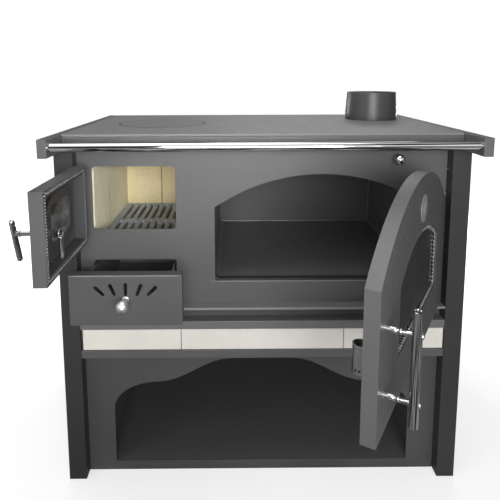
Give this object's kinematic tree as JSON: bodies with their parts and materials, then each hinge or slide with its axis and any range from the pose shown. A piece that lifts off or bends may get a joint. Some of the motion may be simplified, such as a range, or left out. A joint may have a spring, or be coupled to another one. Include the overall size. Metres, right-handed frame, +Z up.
{
  "type": "wood-burning cook stove with oven",
  "caption": "Freestanding wood-burning range cooker with an arched glass oven door, a firebox door, an ash drawer, a log niche, a cooking lid, a flue spigot and a towel bar, doors open.",
  "frame": {"origin": "on the floor, at the middle of the width, in the mid plane of the front panel, under its folded foot", "axes": "+X to the right as seen from the front, +Y to the back, +Z up"},
  "size_m": [0.9585, 0.9985, 0.938],
  "materials": {
    "left_side_panel": "satin anthracite enamel",
    "right_side_panel": "satin anthracite enamel",
    "back_panel": "satin anthracite enamel",
    "front_panel": "satin anthracite enamel",
    "lower_front_panel": "satin anthracite enamel",
    "tile_backing": "matt black inside finish",
    "hearth_plate": "satin anthracite enamel",
    "niche_floor": "matt black inside finish",
    "niche_top": "matt black inside finish",
    "niche_walls": "matt black inside finish",
    "upper_tile_rail": "satin anthracite enamel",
    "lower_tile_rail": "satin anthracite enamel",
    "left_tile": "stands in for glazed ceramic",
    "middle_tile": "stands in for glazed ceramic",
    "right_tile": "stands in for glazed ceramic",
    "left_rail": "satin anthracite enamel",
    "right_rail": "satin anthracite enamel",
    "towel_bar": "polished",
    "hob_apron": "satin grey enamel",
    "hob_supports": "matt black inside finish",
    "hob_plate": "satin grey enamel",
    "flue_collar": "fine cast skin, painted",
    "flue_ring": "plain",
    "firebox_shell": "matt black inside finish",
    "left_boards": "stands in for vermiculite board",
    "back_boards": "stands in for vermiculite board",
    "right_boards": "stands in for vermiculite board",
    "grate": "fine cast skin, painted",
    "grate_seat": "matt black inside finish",
    "ash_housing": "matt black inside finish",
    "oven_box": "matt black inside finish",
    "smoke_baffle": "matt black inside finish",
    "firebox_hinges": "satin anthracite enamel",
    "oven_hinges": "satin anthracite enamel",
    "panel_screws": "plain",
    "drawer_front": "satin anthracite enamel",
    "drawer_pan": "matt black inside finish",
    "drawer_knob": "polished",
    "firebox_door_shell": "satin anthracite enamel",
    "firebox_door_channel": "matt black inside finish",
    "firebox_door_rope": "braided glass fibre",
    "firebox_door_glass": "smoked ceramic glass",
    "firebox_glass_frame": "plain",
    "firebox_handle": "polished",
    "firebox_latch": "polished",
    "oven_door_shell": "satin anthracite enamel",
    "oven_door_liner": "matt black inside finish",
    "oven_door_rope": "braided glass fibre",
    "oven_door_glass": "smoked ceramic glass",
    "oven_glass_rope": "braided glass fibre",
    "oven_glass_clips": "plain",
    "oven_handle_bar": "polished",
    "oven_handle_posts": "polished",
    "oven_handle_screws": "polished",
    "oven_door_catch": "plain",
    "oven_door_cap": "polished",
    "ring_lid": "fine cast skin, painted",
    "damper_rod": "plain",
    "damper_knob": "polished"
  },
  "bodies": {
    "frame": {"left_side_panel": "left_side_panel", "right_side_panel": "right_side_panel", "back_panel": "back_panel", "front_panel": "front_panel", "lower_front_panel": "lower_front_panel", "tile_backing": "tile_backing", "hearth_plate": "hearth_plate", "niche_floor": "niche_floor", "niche_top": "niche_top", "niche_walls": "niche_walls", "upper_tile_rail": "upper_tile_rail", "lower_tile_rail": "lower_tile_rail", "left_tile": "left_tile", "middle_tile": "middle_tile", "right_tile": "right_tile", "left_rail": "left_rail", "right_rail": "right_rail", "towel_bar": "towel_bar", "hob_apron": "hob_apron", "hob_supports": "hob_supports", "hob_plate": "hob_plate", "flue_collar": "flue_collar", "flue_ring": "flue_ring", "firebox_shell": "firebox_shell", "left_boards": "left_boards", "back_boards": "back_boards", "right_boards": "right_boards", "grate": "grate", "grate_seat": "grate_seat", "ash_housing": "ash_housing", "oven_box": "oven_box", "smoke_baffle": "smoke_baffle", "firebox_hinges": "firebox_hinges", "oven_hinges": "oven_hinges", "panel_screws": "panel_screws"},
    "ash_drawer": {"drawer_front": "drawer_front", "drawer_pan": "drawer_pan", "drawer_knob": "drawer_knob"},
    "firebox_door": {"firebox_door_shell": "firebox_door_shell", "firebox_door_channel": "firebox_door_channel", "firebox_door_rope": "firebox_door_rope", "firebox_door_glass": "firebox_door_glass", "firebox_glass_frame": "firebox_glass_frame"},
    "firebox_lever": {"firebox_handle": "firebox_handle", "firebox_latch": "firebox_latch"},
    "oven_door": {"oven_door_shell": "oven_door_shell", "oven_door_liner": "oven_door_liner", "oven_door_rope": "oven_door_rope", "oven_door_glass": "oven_door_glass", "oven_glass_rope": "oven_glass_rope", "oven_glass_clips": "oven_glass_clips", "oven_handle_bar": "oven_handle_bar", "oven_handle_posts": "oven_handle_posts", "oven_handle_screws": "oven_handle_screws", "oven_door_catch": "oven_door_catch", "oven_door_cap": "oven_door_cap"},
    "cooking_lid": {"ring_lid": "ring_lid"},
    "damper": {"damper_rod": "damper_rod", "damper_knob": "damper_knob"}
  },
  "joints": [
    {"name": "firebox_door_hinge", "type": "hinge", "parent": "frame", "child": "firebox_door", "pos_m": [-0.427, -0.0285, 0.698], "axis": [0, 0, 1], "range_deg": [-30, 90]},
    {"name": "firebox_lever_turn", "type": "hinge", "parent": "firebox_door", "child": "firebox_lever", "pos_m": [-0.402, -0.2415, 0.697], "axis": [-1, 0, 0], "range_deg": [-5, 90]},
    {"name": "oven_door_hinge", "type": "hinge", "parent": "frame", "child": "oven_door", "pos_m": [0.41475, -0.0162, 0.5884], "axis": [0, 0, 1], "range_deg": [-58.5, 45]},
    {"name": "ash_drawer_slide", "type": "slide", "parent": "frame", "child": "ash_drawer", "axis": [0, -1, 0], "range_m": [-0.0935, 0.22]},
    {"name": "cooking_lid_lift", "type": "slide", "parent": "frame", "child": "cooking_lid", "axis": [0, 0, 1], "range_m": [0, 0.12]},
    {"name": "damper_slide", "type": "slide", "parent": "frame", "child": "damper", "axis": [0, -1, 0], "range_m": [0, 0.06]}
  ]
}
